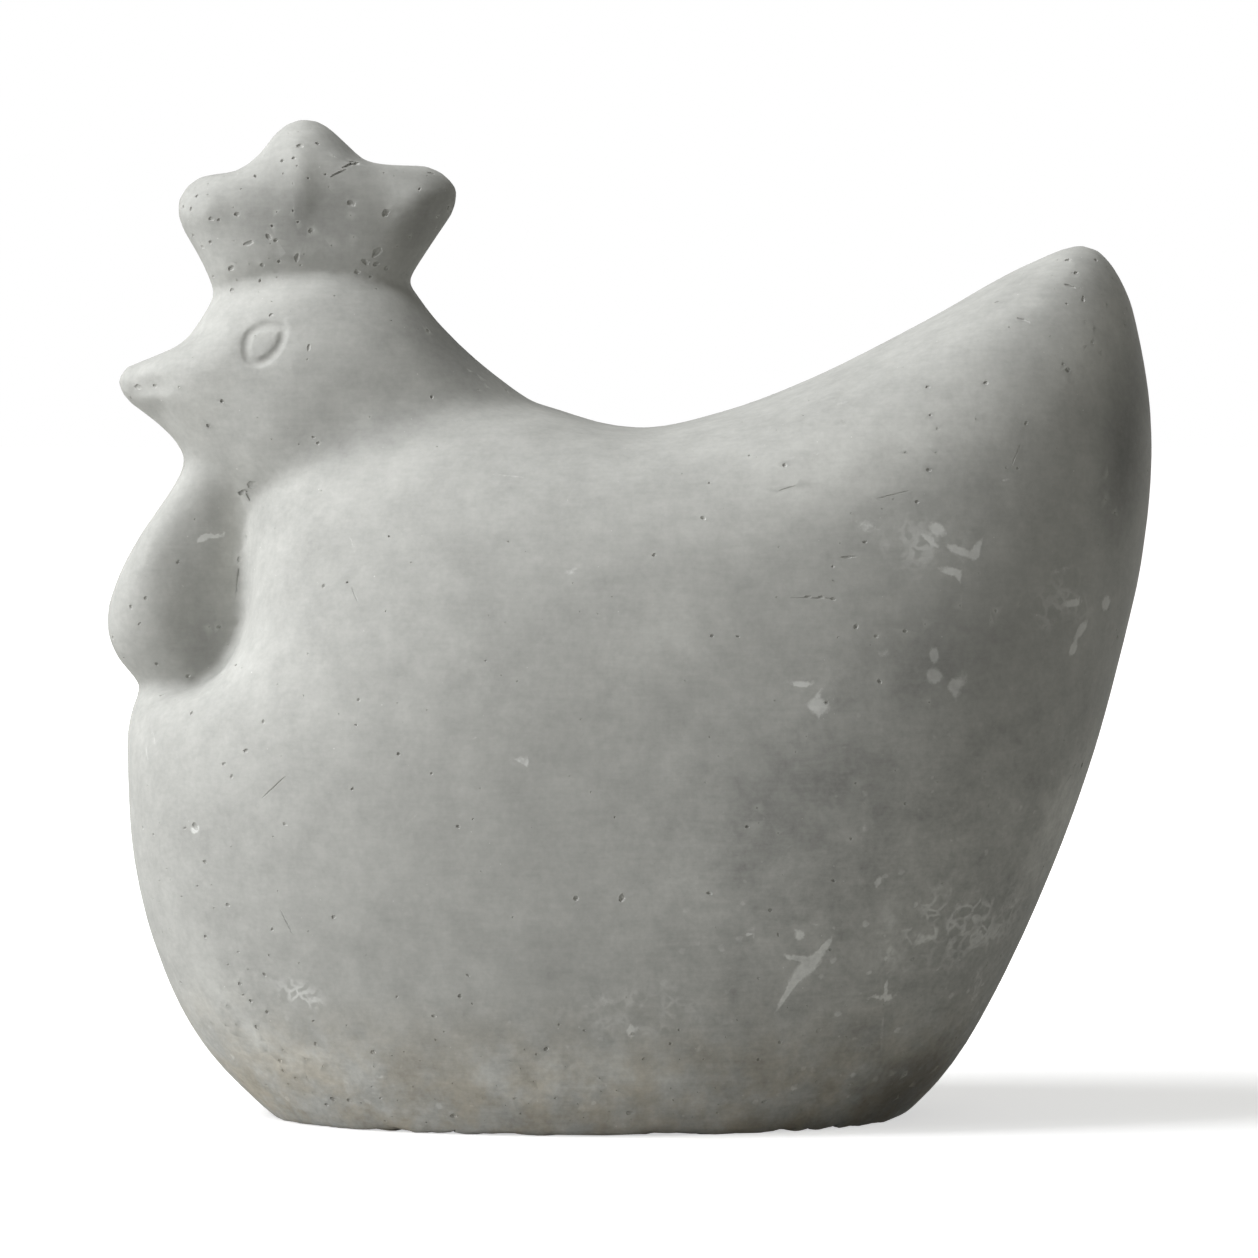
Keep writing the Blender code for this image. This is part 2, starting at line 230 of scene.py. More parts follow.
# Cracks and cuts that the photograph shows, in the same way.
CRACKS = [
    (348, 165, 0.5, 3.0, 0.50, 38),
    (338, 173, 0.4, 3.4, 0.45, 30),
    (355, 163, 1.1, 2.0, 0.30, 10),
    (273, 788, 0.35, 6.6, 0.14, 38),
    (286, 921, 0.30, 8.0, 0.08, -64),
    (896, 494, 0.25, 7.0, 0.08, 14),
    (355, 595, 0.35, 3.0, 0.10, -60),
    (788, 488, 0.30, 3.2, 0.10, 20),
    (816, 598, 0.30, 6.4, 0.14, 0),
    (1016, 455, 0.25, 5.0, 0.08, 62),
    (238, 578, 0.45, 6.4, 0.05, 84),
]

# The tools that cut the pits and cracks: the share of a pit's depth that is cut, how ragged they
# are, how fine their raggedness is, and the rounds that split the faces of the round tool.
PIT_DEPTH_SHARE = 0.5
PIT_RAGGEDNESS = 1.3
CRACK_RAGGEDNESS = 1.6
TOOL_GRAIN = 1300.0
TOOL_FINENESS = 3

# Pores scattered over the skin: the least distance between two, how many there are to a square
# metre where they are thickest, and the smallest and largest radius.
PORES = {"Spacing": 1.8 * MM, "Density": 7.0e4, "Smallest": 0.16 * MM, "Largest": 0.48 * MM}
PORE_SIDE_COUNT = 9
LARGE_PORE_RARITY = 4.0
PLACE_SEED = 11
SIZE_SEED = 5
STRETCH_SEED = 8
SPIN_SEED = 3

# Where the casting is more pored or mottled: places on its side as (x, z) and their reach, in
# millimetres, and heights over which a change fades.
TAIL_TIP, TAIL_TIP_REACH = (84.0, 150.0), 22.0
BREAST, BREAST_REACH = (-76.0, 30.0), 34.0
REAR, REAR_REACH, REAR_STRETCH = (50.0, 40.0), 60.0, 1.2
COMB_ROOT, COMB_FADE = 156.0, 14.0
COMB_MIDDLE, COMB_REACH, COMB_END_FADE = -56.0, 30.0, 8.0
PORED_FOOT = 24.0
MOTTLED_FOOT = 34.0
WHOLE_RIM = 3.5
PLAIN_PORES = 0.14
FAR_PORES = 0.10
FAR_EASE = 12.0 * MM  # from the mid-plane to where the far side's scattered marks are full

# Flecks of lime that the photograph shows: the place, then across and along in millimetres and
# the tilt. The faint ones are listed apart.
LIME_STRENGTH = 1.0
FAINT_STRENGTH = 0.40
LIME_EDGE = 0.7 * MM  # longer edges are split
LIME_MARGIN = 10  # pixels round a fleck where the skin is made fine
LIME = [
    (818, 706, 2.6, 3.4, 0),
    (800, 684, 0.9, 3.2, 0),
    (937, 529, 1.8, 3.0, -35),
    (930, 540, 0.9, 3.4, -40),
    (960, 551, 1.3, 4.4, -20),
    (976, 551, 1.3, 2.8, 80),
    (954, 572, 1.2, 4.6, -12),
    (934, 655, 1.4, 2.6, 90),
    (934, 676, 2.3, 2.6, 0),
    (955, 685, 2.0, 2.4, 40),
    (1073, 603, 1.2, 2.8, 10),
    (1106, 603, 1.2, 2.4, 80),
    (1081, 630, 1.1, 3.4, 60),
    (1073, 649, 1.0, 2.4, 70),
    (528, 764, 0.6, 0.9, 0),
    (631, 1031, 1.3, 2.0, 80),
    (878, 882, 0.9, 1.8, 70),
    (750, 934, 0.7, 1.4, 20),
    (727, 931, 0.7, 0.9, 0),
    (800, 936, 1.2, 1.6, 50),
    (819, 923, 0.6, 2.0, 0),
    (806, 968, 2.2, 6.6, 44),
    (789, 990, 0.8, 8.6, 58),
    (797, 958, 0.8, 5.0, -6),
    (824, 948, 0.9, 4.6, 52),
    (886, 997, 0.6, 5.4, 2),
    (886, 990, 0.5, 5.0, 88),
    (195, 829, 1.2, 1.6, 50),
    (184, 585, 0.5, 0.7, 0),
    (202, 539, 0.9, 1.9, 30),
    (212, 536, 0.6, 3.2, -4),
    (222, 533, 0.4, 1.6, 24),
]
FAINT_LIME = [
    (577, 661, 0.7, 1.2, 70),
    (147, 565, 0.6, 0.8, 0),
    (608, 573, 0.6, 0.9, 40),
    (571, 570, 0.6, 0.9, 0),
    (147, 752, 0.5, 3.4, -84),
    (153, 735, 0.5, 4.6, -78),
    (867, 526, 2.4, 6.2, -10),
    (884, 653, 1.8, 3.0, 0),
    (1061, 570, 1.2, 6.0, 22),
    (1006, 480, 0.7, 1.8, 10),
    (842, 403, 0.7, 2.6, 15),
    (818, 454, 0.7, 1.4, 0),
    (475, 738, 0.6, 1.5, 40),
    (415, 816, 0.4, 2.8, 42),
    (460, 880, 0.7, 1.2, 0),
    (604, 1000, 2.4, 5.4, -38),
    (316, 1001, 1.5, 6.6, -28),
    (380, 1077, 0.9, 3.2, 0),
    (790, 846, 0.8, 1.8, 30),
    (858, 836, 0.5, 4.4, -50),
    (727, 992, 1.5, 1.8, 0),
    (977, 985, 1.8, 8.6, 74),
    (882, 1036, 0.8, 8.6, 88),
    (640, 1005, 1.0, 2.4, 10),
    (1010, 905, 1.8, 7.0, 30),
    (958, 905, 2.0, 5.0, 70),
    (915, 935, 1.6, 4.4, 10),
    (509, 476, 0.5, 7.4, -6),
    (353, 545, 0.5, 3.4, -66),
    (575, 780, 0.5, 5.6, 4),
    (700, 1050, 0.8, 3.0, 10),
    (820, 720, 0.7, 3.0, 80),
]

# The colours of the concrete, how much light glances off it, and how much paler its pits are
# painted: chalky broken faces, and painted light on their lit walls.
PALE_GREY = (0.425, 0.426, 0.404, 1.0)
LIME_WHITE = (0.70, 0.705, 0.68, 1.0)
FOOT_BROWN = (0.37, 0.335, 0.27, 1.0)
# Pinholes are painted this dark grey as the shade inside them.
PINHOLE_SHADE_GREY = (0.16, 0.155, 0.145, 1.0)
SHEEN = 0.15
PIT_CHALK_AND_PAINTED_LIGHT = 1.03

# How strongly each kind of mark changes the tone of the concrete, and how much more the last
# four do so where it is mottled.
CLOUD_SHARE = 0.32
PATCH_SHARE = 0.24
BLOT_SHARE = 0.34
GRIT_SHARE = 0.24
TROWEL_SHARE = 0.16
MOTTLED_MORE = 1.1
TROWEL_STRETCH = (0.12, 0.5, 1.0)

# How much of its own colour each kind of mark shows.
VEIN_COVER = 0.75
FLECK_COVER = 0.85
FAR_FLECK_COVER = 0.65
SPECK_COVER = 0.6
DOT_COVER = 0.55
BROWN_COVER = 0.8
PINHOLE_SHADE_COVER = 0.5
BROWN_HEIGHT = 30.0 * MM
BUMP_HEIGHT = 0.10 * MM

# The floor: what it shows to the camera and what it throws back on the hen, and how far out it
# turns all white.
FLOOR_WHITE = (0.80, 0.80, 0.80, 1.0)
FLOOR_GLOW = (0.58, 0.58, 0.58, 1.0)
FLOOR_BOUNCE = (0.37, 0.365, 0.345, 1.0)
BACKDROP_WHITE = (1.0, 1.0, 1.0, 1.0)
FLOOR_NEAR = 0.15
FLOOR_FAR = 0.60
FLOOR_REACH = 6.0

# The light from all round.
AMBIENT = 0.16
AMBIENT_TINT = (1.0, 0.98, 0.87)

# The lamps: degrees round from the camera towards the hen's face, degrees up, and watts.
LAMPS = {
    "low_key": (70, 8, 24.2),
    "high_key": (74, 55, 31.0),
    "rim": (-120, 12, 1.8),
    "fill": (20, 8, 2.4),
}
LAMP_DISTANCE = 1.8
LAMP_WIDTH = 0.9
LAMP_TINT = (0.97, 0.98, 1.0)


class Wire:
    """A node's output that can be reckoned with: each operator adds a Math node."""

    def __init__(self, graph, socket):
        self.graph = graph
        self.socket = socket

    def __add__(self, other):
        return self.graph.maths("ADD", self, other)

    def __radd__(self, other):
        return self.graph.maths("ADD", other, self)

    def __sub__(self, other):
        return self.graph.maths("SUBTRACT", self, other)

    def __rsub__(self, other):
        return self.graph.maths("SUBTRACT", other, self)

    def __mul__(self, other):
        return self.graph.maths("MULTIPLY", self, other)

    def __rmul__(self, other):
        return self.graph.maths("MULTIPLY", other, self)

    def __pow__(self, other):
        return self.graph.maths("POWER", self, other)

    def rising(self, low, high):
        """0 at low, 1 at high and eased between them; low may be the higher one."""
        limits = {"Value": self, "From Min": low, "From Max": high}
        return self.graph.node("ShaderNodeMapRange", {"interpolation_type": "SMOOTHSTEP"}, limits)

    def output(self, name):
        """Another output of the same node."""
        return Wire(self.graph, self.graph.named(self.socket.node.outputs, name))


class Graph:
    """Adds nodes to a tree."""

    def __init__(self, tree):
        self.tree = tree

    def named(self, sockets, name):
        """The socket in use that has this name."""
        return next(socket for socket in sockets if socket.name == name and socket.enabled)

    def node(self, kind, settings=None, inputs=None):
        """A node of this type, with its settings, and with values or wires on its inputs."""
        node = self.tree.nodes.new(kind)
        for name, value in (settings or {}).items():
            setattr(node, name, value)
        for name, value in (inputs or {}).items():
            socket = node.inputs[name] if isinstance(name, int) else self.named(node.inputs, name)
            if isinstance(value, Wire):
                self.tree.links.new(value.socket, socket)
            else:
                socket.default_value = value
        outputs = [socket for socket in node.outputs if socket.enabled]
        return Wire(self, outputs[0]) if outputs else None

    def maths(self, operation, first, second):
        return self.node("ShaderNodeMath", {"operation": operation}, {0: first, 1: second})

    def mix(self, share, first, second):
        """A colour between two, by share."""
        inputs = {"Factor": share, "A": first, "B": second}
        return self.node("ShaderNodeMix", {"data_type": "RGBA"}, inputs)

    def times(self, vector, factor):
        """A vector or colour, scaled."""
        inputs = {"Vector": vector, "Scale": factor}
        return self.node("ShaderNodeVectorMath", {"operation": "SCALE"}, inputs)

    def stretched(self, place, factors):
        """The place with each of its three parts multiplied."""
        return self.node("ShaderNodeVectorMath", {"operation": "MULTIPLY"}, {0: place, 1: factors})

    def mottle(self, place, size, detail=4.0, roughness=0.55, warp=0.0):
        """Noise within half a unit of 0, whose blots are some size millimetres across."""
        inputs = {
            "Vector": place,
            "Scale": 1.0 / (size * MM),
            "Detail": detail,
            "Roughness": roughness,
            "Distortion": warp,
        }
        return self.node("ShaderNodeTexNoise", {}, inputs) - 0.5

    def specks(self, place, spacing, radius, share):
        """Scattered round specks: 1 inside the share of them that shows, 0 outside."""
        inputs = {"Vector": place, "Scale": 1.0 / (spacing * MM)}
        cells = self.node("ShaderNodeTexVoronoi", {}, inputs)
        chance = cells.output("Color") * 1.0  # each cell's random colour, made a grey
        reach = chance.rising(1.0 - share, 1.0) * (radius / spacing)
        return cells.output("Distance").rising(reach, reach * 0.5)

    def warped(self, place, scale, reach):
        """The place, shifted a little by noise."""
        noise_at = self.node("ShaderNodeTexNoise", {}, {"Vector": place, "Scale": scale})
        inputs = {0: place, 1: self.times(noise_at.output("Color"), reach)}
        return self.node("ShaderNodeVectorMath", {"operation": "ADD"}, inputs)

    def painted(self, name):
        """A value painted on the skin's points."""
        return self.node("ShaderNodeAttribute", {"attribute_name": name}).output("Fac")

    def feed(self, wire, node, name):
        self.tree.links.new(wire.socket, node.inputs[name])


def evaluated_mesh(item):
    bpy.context.view_layer.update()
    evaluated = item.evaluated_get(bpy.context.evaluated_depsgraph_get())
    return bpy.data.meshes.new_from_object(evaluated)


def make_real(item):
    """Turns the object's modifiers into its own mesh."""
    mesh = evaluated_mesh(item)
    item.modifiers.clear()
    item.data = mesh


def linked(name, mesh):
    item = bpy.data.objects.new(name, mesh)
    bpy.context.scene.collection.objects.link(item)
    return item


def fine_skin(solid):
    """A close copy of the solid with its facets rounded off."""
    mesh = bmesh.new()
    mesh.from_mesh(solid.data)
    bmesh.ops.remove_doubles(mesh, verts=mesh.verts, dist=0.001 * MM)
    data = bpy.data.meshes.new("hen_skin")
    mesh.to_mesh(data)
    mesh.free()
    data.materials.clear()
    skin = linked("hen_skin", data)
    rounding = skin.modifiers.new("rounding", "SUBSURF")
    rounding.levels = rounding.render_levels = 1
    soft = skin.modifiers.new("soft", "SMOOTH")
    soft.factor = 0.5
    soft.iterations = SKIN_SOFTENING_COUNT
    make_real(skin)
    return skin


def eye_line():
    """Close points along the ring of an eye."""
    knots = [Vector(knot) for knot in EYE_LINE]
    points = []
    for i in range(len(knots)):
        before, start, end, after = (knots[(i + k) % len(knots)] for k in (-1, 0, 1, 2))
        for step in range(EYE_STEP_COUNT):
            t = step / EYE_STEP_COUNT
            bend = (end - before) * t + (2 * before - 5 * start + 4 * end - after) * t**2
            points.append(start + 0.5 * (bend + (3 * start - before - 3 * end + after) * t**3))
    return points


def side_place(vert):
    return Vector((vert.co.x / MM, vert.co.z / MM))


def refine(mesh, chosen, longest, rounds=2):
    """Splits the longer edges between the chosen points."""
    for _ in range(rounds):
        edges = [
            edge
            for edge in mesh.edges
            if edge.calc_length() > longest and all(chosen(vert) for vert in edge.verts)
        ]
        bmesh.ops.subdivide_edges(mesh, edges=edges, cuts=1, use_grid_fill=True)


def carve_eyes(mesh):
    """Works the ring of each eye into the head's flanks as a round-edged groove."""
    every_way = {"use_axis_x": True, "use_axis_y": True, "use_axis_z": True}
    line = eye_line()
    centre = sum(line, Vector((0.0, 0.0))) / len(line)
    refine(mesh, lambda vert: (side_place(vert) - centre).length < EYE_REACH, EYE_EDGE)
    reach = EYE_REACH - EYE_MARGIN
    near = [vert for vert in mesh.verts if (side_place(vert) - centre).length < reach]
    for _ in range(EYE_SMOOTHING_COUNT):
        bmesh.ops.smooth_vert(mesh, verts=near, factor=0.5, **every_way)
    mesh.normal_update()
    for vert in near:
        place = side_place(vert)
        away = min((place - point).length for point in line) / (EYE_GROOVE_WIDTH / 2)
        if away < 1.0:
            depth = EYE_GROOVE_DEPTH * MM
            vert.co -= vert.normal * depth * (1.0 - away * away) ** EYE_GROOVE_ROUNDNESS


def crease_height(x):
    """How high the crease under the comb runs, in millimetres, at this far along the figure."""
    middle = FRAME_PIXELS / 2
    floor = middle + FRAME_CENTRE.z / PIXEL
    along = [(px - middle) * PIXEL / MM for px, _ in CREASE]
    up = [(floor - py) * PIXEL / MM for _, py in CREASE]
    return float(np.interp(x, along, up))


def cut_crease(mesh):
    """Sharpens the crease under the comb, which the soft skin rounds off."""

    def away(vert):
        place = side_place(vert)
        return abs(place.y - crease_height(place.x)) / (CREASE_WIDTH / 2)

    def at_crease(vert):
        return abs(vert.co.x / MM - CREASE_MIDDLE) < CREASE_REACH and away(vert) < 1.0

    refine(mesh, at_crease, CREASE_EDGE)
    mesh.normal_update()
    for vert in mesh.verts:
        if at_crease(vert):
            depth = CREASE_DEPTH * MM * (1.0 - away(vert)) ** CREASE_SHARPNESS
            vert.co -= vert.normal * depth * abs(vert.normal.y)


def sway(mesh):
    """The slight unevenness that a hand-made mould leaves, always inwards of the solid.

    It eases off at the foot, which stays flat.
    """
    mesh.normal_update()
    for vert in mesh.verts:
        dip = 0.0
        for size, depth in SWELLS:
            dip += depth * (0.5 + 0.5 * noise.noise(vert.co / (size * MM)))
        vert.co -= vert.normal * dip * min(1.0, vert.co.z / FOOT_EASE) * MM


def fine_at_lime(mesh):
    """Splits the faces where lime is to be painted."""
    for _ in range(2):
        near = near_lime(points_of(mesh.verts))
        mesh.verts.index_update()
        refine(mesh, lambda vert: near[vert.index], LIME_EDGE, rounds=1)


def work_skin(skin):
    mesh = bmesh.new()
    mesh.from_mesh(skin.data)
    sway(mesh)
    cut_crease(mesh)
    carve_eyes(mesh)
    fine_at_lime(mesh)
    bmesh.ops.triangulate(mesh, faces=mesh.faces)
    mesh.to_mesh(skin.data)
    mesh.free()


def camera_axes():
    """The camera's place and its right, up and back directions."""
    rise = math.radians(CAMERA_RISE)
    back = Vector((0.0, -math.cos(rise), math.sin(rise)))
    right = Vector((1.0, 0.0, 0.0))
    return FRAME_CENTRE + back * CAMERA_DISTANCE, right, back.cross(right), back


def seen_at(tree, x, y):
    """Where on the skin the camera sees this place of the photograph, and the normal there."""
    eye, right, up, _ = camera_axes()
    middle = FRAME_PIXELS / 2
    target = FRAME_CENTRE + right * (x - middle) * PIXEL + up * (middle - y) * PIXEL
    place, normal, _, _ = tree.ray_cast(eye, (target - eye).normalized())
    return place, normal


def marked_points(skin, marks):
    """A point for each mark, with the size and the turn of the tool that cuts it."""
    tree = BVHTree.FromObject(skin, bpy.context.evaluated_depsgraph_get())
    places, sizes, turns = [], [], []
    for x, y, across, along, deep, tilt in marks:
        place, normal = seen_at(tree, x, y)
        slope = math.radians(tilt)
        heading = Vector((math.cos(slope), 0.0, math.sin(slope)))
        heading = (heading - normal * heading.dot(normal)).normalized()
        turn = Matrix((heading, normal.cross(heading), normal)).transposed()
        places.append(place)
        sizes.append((along / 2 * MM, across / 2 * MM, deep * MM))
        turns.append(turn.to_euler())
    mesh = bpy.data.meshes.new("marks")
    mesh.from_pydata(places, [], [])
    for name, values in (("size", sizes), ("turn", turns)):
        layer = mesh.attributes.new(name, "FLOAT_VECTOR", "POINT")
        layer.data.foreach_set("vector", np.array(values, dtype=np.float32).ravel())
    return linked("marks", mesh)


def new_tree(name, inputs):
    """An empty tree that takes and gives a mesh, with more inputs by their name and type."""
    tree = bpy.data.node_groups.new(name, "GeometryNodeTree")
    tree.interface.new_socket("Geometry", in_out="INPUT", socket_type="NodeSocketGeometry")
    for label, kind in inputs.items():
        tree.interface.new_socket(label, in_out="INPUT", socket_type="NodeSocket" + kind)
    tree.interface.new_socket("Geometry", in_out="OUTPUT", socket_type="NodeSocketGeometry")
    return tree


def marks_tree():
    """A rounded ragged tool at each point, sized and turned by what the point says."""
    inputs = {"Fineness": "Int", "Raggedness": "Float", "Grain": "Float", "Finish": "Material"}
    tree = new_tree("marks", inputs)
    g = Graph(tree)
    points = g.node("NodeGroupInput")
    ball = g.node(
        "GeometryNodeMeshIcoSphere", {}, {"Radius": 1.0, "Subdivisions": points.output("Fineness")}
    )
    size, angles = (
        g.node("GeometryNodeInputNamedAttribute", {"data_type": "FLOAT_VECTOR"}, {"Name": name})
        for name in ("size", "turn")
    )
    turn = g.node("FunctionNodeEulerToRotation", {}, {"Euler": angles})
    placed = g.node(
        "GeometryNodeInstanceOnPoints",
        {},
        {"Points": points, "Instance": ball, "Rotation": turn, "Scale": size},
    )
    real = g.node("GeometryNodeRealizeInstances", {}, {"Geometry": placed})
    place = g.node("GeometryNodeInputPosition")
    rough = g.node(
        "ShaderNodeTexNoise", {}, {"Vector": g.times(place, points.output("Grain")), "Scale": 1.0}
    ).output("Color")
    middle = g.node(
        "ShaderNodeVectorMath", {"operation": "SUBTRACT"}, {0: rough, 1: (0.5, 0.5, 0.5)}
    )
    level = g.stretched(g.stretched(middle, (1.0, 1.0, 0.0)), size)
    aligned = g.node(
        "ShaderNodeVectorRotate",
        {"rotation_type": "EULER_XYZ"},
        {"Vector": level, "Rotation": angles},
    )
    ragged = g.node(
        "GeometryNodeSetPosition",
        {},
        {"Geometry": real, "Offset": g.times(aligned, points.output("Raggedness"))},
    )
    finish = {"Geometry": ragged, "Material": points.output("Finish")}
    finished = g.node("GeometryNodeSetMaterial", {}, finish)
    g.node("NodeGroupOutput", {}, {"Geometry": finished})
    return tree


def pores_tree():
    """Small rounded tools scattered over the skin, thicker where it is more pored."""
    inputs = {
        "Spacing": "Float",
        "Density": "Float",
        "Smallest": "Float",
        "Largest": "Float",
        "Finish": "Material",
    }
    tree = new_tree("pores", inputs)
    g = Graph(tree)
    skin = g.node("NodeGroupInput")
    pored = g.node("GeometryNodeInputNamedAttribute", {"data_type": "FLOAT"}, {"Name": "pored"})
    scattered = g.node(
        "GeometryNodeDistributePointsOnFaces",
        {"distribute_method": "POISSON"},
        {
            "Mesh": skin,
            "Distance Min": skin.output("Spacing"),
            "Density Max": skin.output("Density"),
            "Density Factor": pored,
            "Seed": PLACE_SEED,
        },
    )
    chance = g.node(
        "FunctionNodeRandomValue",
        {"data_type": "FLOAT"},
        {"Min": 0.0, "Max": 1.0, "Seed": SIZE_SEED},
    )
    smallest, largest = skin.output("Smallest"), skin.output("Largest")
    radius = smallest + (largest - smallest) * chance**LARGE_PORE_RARITY
    stretch = g.node(
        "FunctionNodeRandomValue",
        {"data_type": "FLOAT_VECTOR"},
        {"Min": (0.8, 0.7, 0.5), "Max": (1.5, 1.1, 0.9), "Seed": STRETCH_SEED},
    )
    spin = g.node(
        "FunctionNodeRandomValue",
        {"data_type": "FLOAT"},
        {"Min": 0.0, "Max": math.tau, "Seed": SPIN_SEED},
    )
    about = g.node("FunctionNodeAxisAngleToRotation", {}, {"Axis": (0.0, 0.0, 1.0), "Angle": spin})
    turned = g.node(
        "FunctionNodeRotateRotation",
        {"rotation_space": "LOCAL"},
        {"Rotation": scattered.output("Rotation"), "Rotate By": about},
    )
    cone = g.node(
        "GeometryNodeMeshCone",
        {},
        {"Vertices": PORE_SIDE_COUNT, "Radius Top": 1.2, "Radius Bottom": 0.3, "Depth": 1.6},
    )
    tool = g.node("GeometryNodeTransform", {}, {"Geometry": cone, "Translation": (0.0, 0.0, -1.2)})
    size = g.times(stretch, radius)
    placed = g.node(
        "GeometryNodeInstanceOnPoints",
        {},
        {"Points": scattered, "Instance": tool, "Rotation": turned, "Scale": size},
    )
    real = g.node("GeometryNodeRealizeInstances", {}, {"Geometry": placed})
    finish = {"Geometry": real, "Material": skin.output("Finish")}
    finished = g.node("GeometryNodeSetMaterial", {}, finish)
    g.node("NodeGroupOutput", {}, {"Geometry": finished})
    return tree


def shaped_by(item, tree, values):
    """Runs a node tree on the object, with values for its named inputs, and keeps the result."""
    work = item.modifiers.new("work", "NODES")
    work.node_group = tree
    for socket in tree.interface.items_tree:
        if socket.in_out == "INPUT" and socket.name in values:
            work[socket.identifier] = values[socket.name]
    make_real(item)
    return item


def cut_with(skin, tools):
    """Cuts the tools' shapes out of the skin."""
    cut = skin.modifiers.new("cut", "BOOLEAN")
    cut.operation = "DIFFERENCE"
    cut.solver = "MANIFOLD"
    cut.material_mode = "TRANSFER"
    cut.object = tools
    make_real(skin)
    bpy.data.objects.remove(tools)


def sharpen_rims(skin):
    """Keeps the rims of the pits crisp, however shallow the pits are."""
    mesh = bmesh.new()
    mesh.from_mesh(skin.data)
    for edge in mesh.edges:
        if len({face.material_index for face in edge.link_faces}) > 1:
            edge.smooth = False
    mesh.to_mesh(skin.data)
    mesh.free()


def nearness(distance, reach):
    """1 at no distance, easing to 0 at the reach."""
    t = np.clip(1.0 - distance / reach, 0.0, 1.0)
    return t * t * (3 - 2 * t)


def picture_places(points):
    """Where in the photograph's frame the points of the skin are seen: how far across and down."""
    eye, right, up, back = (np.array(axis) for axis in camera_axes())
    rays = points - eye
    scale = -CAMERA_DISTANCE / ((rays @ back) * PIXEL)
    middle = FRAME_PIXELS / 2
    return middle + (rays @ right) * scale, middle - (rays @ up) * scale


def spotted(points, spots):
    """The strength that oval spots of the photograph's frame give the points of the near flank.

    A spot says where it is, its reach along and across, the tilt of the long way and a strength.
    Past the mid-plane the strength fades out.
    """
    across_frame, down_frame = picture_places(points)
    total = np.zeros(len(points))
    for x, y, along, across, tilt, strength in spots:
        slope = math.radians(tilt)
        right, up = across_frame - x, y - down_frame
        u = (right * math.cos(slope) + up * math.sin(slope)) / along
        v = (up * math.cos(slope) - right * math.sin(slope)) / across
        total += strength * nearness(np.hypot(u, v), 1.0)
    return total * nearness(np.maximum(0.0, points[:, 1]), PAST_MIDDLE)


def lime_spots():
    spots = []
    for flecks, strength in ((LIME, LIME_STRENGTH), (FAINT_LIME, FAINT_STRENGTH)):
        for x, y, across, along, tilt in flecks:
            spots.append((x, y, along * MM / PIXEL, across * MM / PIXEL, tilt, strength))
    return spots


def limed_at(points):
    return np.minimum(1.0, spotted(points, lime_spots()))


def near_lime(points):
    """Whether lime is to be painted at the points or close by."""
    spots = [
        (x, y, along + LIME_MARGIN, across + LIME_MARGIN, tilt, 1.0)
        for x, y, along, across, tilt, _ in lime_spots()
    ]
    return spotted(points, spots) > 0.0


def painted_light_and_stain_at(points):
    """How much paler or darker the near flank is painted: mostly painted shade and painted light,
    with a few real stains.
    """
    return spotted(points, PAINTED_LIGHT_AND_STAINS)


def veined_at(points):
    return np.minimum(1.0, spotted(points, VEINED))


def hidden_at(points):
    """1 on the far side, which the photograph doesn't show."""
    return nearness(np.maximum(0.0, FAR_EASE - points[:, 1]), FAR_EASE)


def around(points, place, reach, stretch=1.0):
    """1 at a place on the hen's side, easing to 0 at its reach."""
    x, z = points[:, 0] / MM, points[:, 2] / MM
    return nearness(np.hypot((x - place[0]) / stretch, z - place[1]), reach)


def pored_at(points):
    """How thickly the casting is pored: most on the comb, at the tail's tip and low down."""
    x, z = points[:, 0] / MM, points[:, 2] / MM
    below_comb = np.maximum(0.0, COMB_ROOT - z)
    past_comb = np.maximum(0.0, abs(x - COMB_MIDDLE) - COMB_REACH)
    comb = nearness(below_comb, COMB_FADE) * nearness(past_comb, COMB_END_FADE)
    foot = nearness(z, PORED_FOOT)
    tail = around(points, TAIL_TIP, TAIL_TIP_REACH)
    breast = around(points, BREAST, BREAST_REACH)
    plain = PLAIN_PORES + FAR_PORES * hidden_at(points)
    pored = plain + 0.8 * comb + 0.7 * foot + 0.5 * tail + 0.5 * breast
    return (1.0 - nearness(z, WHOLE_RIM)) * np.minimum(1.0, pored)


def mottled_at(points):
    """How strongly the tone is broken up: most low on the hen's rear and around the foot."""
    rear = around(points, REAR, REAR_REACH, REAR_STRETCH)
    foot = nearness(points[:, 2] / MM, MOTTLED_FOOT)
    return np.minimum(1.0, 0.9 * rear + 0.9 * foot)


def points_of(verts):
    return np.array([vert.co for vert in verts], dtype=np.float64)


def paint(skin, name, value_at):
    layer = skin.data.attributes.new(name, "FLOAT", "POINT")
    layer.data.foreach_set("value", value_at(points_of(skin.data.vertices)).astype(np.float32))


def limed(g, place, colour):
    """The colour under lime: fine veins, flecks, specks and dots."""
    warped = g.warped(place, 240.0, 0.006)
    web = g.node(
        "ShaderNodeTexVoronoi", {"feature": "DISTANCE_TO_EDGE"}, {"Vector": warped, "Scale": 340.0}
    )
    broken = g.mottle(place, 6.0, detail=2.0).rising(-0.10, 0.06)
    veins = web.rising(0.21, 0.05) * broken * g.painted("veined")
    colour = g.mix(veins * VEIN_COVER, colour, LIME_WHITE)

    lime = g.painted("limed")
    ragged = g.mottle(place, 1.3, detail=3.0, roughness=0.7, warp=0.5)
    flecks = (lime + 0.7 * ragged * lime.rising(0.0, 0.3)).rising(0.20, 0.62)
    far_flecks = g.specks(g.warped(place, 420.0, 0.003), 11.0, 2.6, 0.35) * g.painted("hidden")
    cover = flecks * FLECK_COVER + far_flecks * FAR_FLECK_COVER
    colour = g.mix(cover, colour, LIME_WHITE)

    specks = g.specks(place, 1.7, 0.20, 0.45)
    colour = g.mix(specks * SPECK_COVER, colour, LIME_WHITE)
    dots = g.specks(g.warped(place, 900.0, 0.0012), 3.5, 0.9, 0.85) * g.painted("mottled")
    return g.mix(dots * DOT_COVER, colour, LIME_WHITE)


